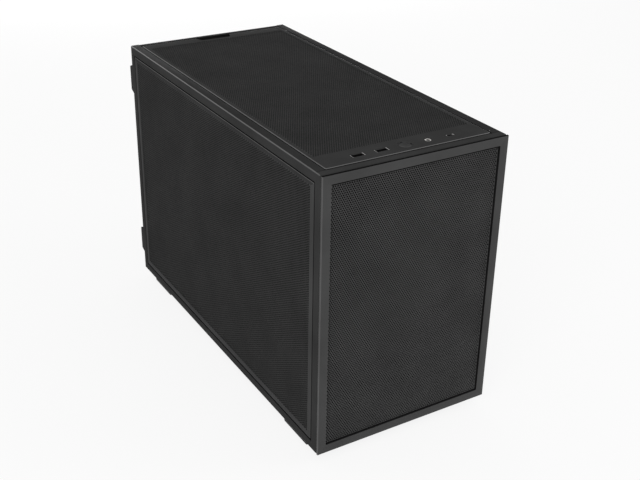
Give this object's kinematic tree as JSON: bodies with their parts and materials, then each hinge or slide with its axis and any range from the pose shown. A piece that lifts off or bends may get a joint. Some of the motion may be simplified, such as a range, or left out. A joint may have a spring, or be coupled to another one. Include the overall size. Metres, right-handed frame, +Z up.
{
  "type": "micro atx pc case",
  "caption": "Black steel desktop computer case with perforated front, side and top panels, pull-off covers and a row of sockets and a button on its top.",
  "frame": {"origin": "on the floor, under the middle of the whole case", "axes": "+Z up, -Y out of the front panel, -X out of the left side panel"},
  "size_m": [0.21, 0.461, 0.3165],
  "materials": {
    "panel_paint": "fine matt powder coat",
    "front_frame_paint": "fine matt powder coat",
    "chassis_paint": "matt powder coat",
    "nickel_steel": "nickel plated",
    "black_plastic": "fine moulded texture",
    "button_paint": "satin",
    "board_lacquer": "lacquered",
    "foot_rubber": "matt"
  },
  "bodies": {
    "chassis": {"bottom_pan": "chassis_paint", "front_plate": "chassis_paint", "top_frame": "chassis_paint", "top_crossbar": "panel_paint", "rear_panel": "chassis_paint", "motherboard_tray": "chassis_paint", "psu_bracket": "chassis_paint", "drive_bracket": "chassis_paint", "top_fan_bracket": "chassis_paint", "slot_cover_1": "chassis_paint", "slot_cover_2": "chassis_paint", "slot_cover_3": "chassis_paint", "slot_cover_4": "chassis_paint", "slot_screw_1": "nickel_steel", "slot_screw_2": "nickel_steel", "slot_screw_3": "nickel_steel", "slot_screw_4": "nickel_steel", "power_inlet": "black_plastic", "io_bracket": "chassis_paint", "io_board": "board_lacquer", "usb_a_shell_1": "nickel_steel", "usb_a_shell_2": "nickel_steel", "usb_a_tongue_1": "black_plastic", "usb_a_tongue_2": "black_plastic", "usb_c_port": "nickel_steel", "audio_jack": "nickel_steel", "button_housing": "black_plastic", "power_switch": "black_plastic", "foot_front_left": "foot_rubber", "foot_front_right": "foot_rubber", "foot_rear_left": "foot_rubber", "foot_rear_right": "foot_rubber"},
    "left_panel": {"left_side_frame": "panel_paint", "left_side_mesh": "panel_paint", "left_filter": "black_plastic", "left_stud_1": "nickel_steel", "left_stud_2": "nickel_steel", "left_stud_3": "nickel_steel", "left_stud_4": "nickel_steel"},
    "right_panel": {"right_side_frame": "panel_paint", "right_side_mesh": "panel_paint", "right_filter": "black_plastic", "right_stud_1": "nickel_steel", "right_stud_2": "nickel_steel", "right_stud_3": "nickel_steel", "right_stud_4": "nickel_steel"},
    "top_cover": {"top_panel": "panel_paint", "top_filter": "black_plastic", "top_stud_1": "nickel_steel", "top_stud_2": "nickel_steel", "top_stud_3": "nickel_steel", "top_stud_4": "nickel_steel"},
    "front_cover": {"front_panel_frame": "front_frame_paint", "front_mesh": "panel_paint", "front_filter": "black_plastic"},
    "button": {"power_button": "button_paint"}
  },
  "joints": [
    {"name": "left_panel_pull", "type": "slide", "parent": "chassis", "child": "left_panel", "axis": [-1, 0, 0], "range_m": [0, 0.04]},
    {"name": "right_panel_pull", "type": "slide", "parent": "chassis", "child": "right_panel", "axis": [1, 0, 0], "range_m": [0, 0.04]},
    {"name": "top_cover_lift", "type": "slide", "parent": "chassis", "child": "top_cover", "axis": [0, 0, 1], "range_m": [0, 0.05]},
    {"name": "front_cover_pull", "type": "slide", "parent": "chassis", "child": "front_cover", "axis": [0, -1, 0], "range_m": [0, 0.05]},
    {"name": "power_button_press", "type": "slide", "parent": "chassis", "child": "button", "axis": [0, 0, -1], "range_m": [0, 0.001], "stiffness_N_per_m": 1500, "springref_m": -0.0003}
  ]
}
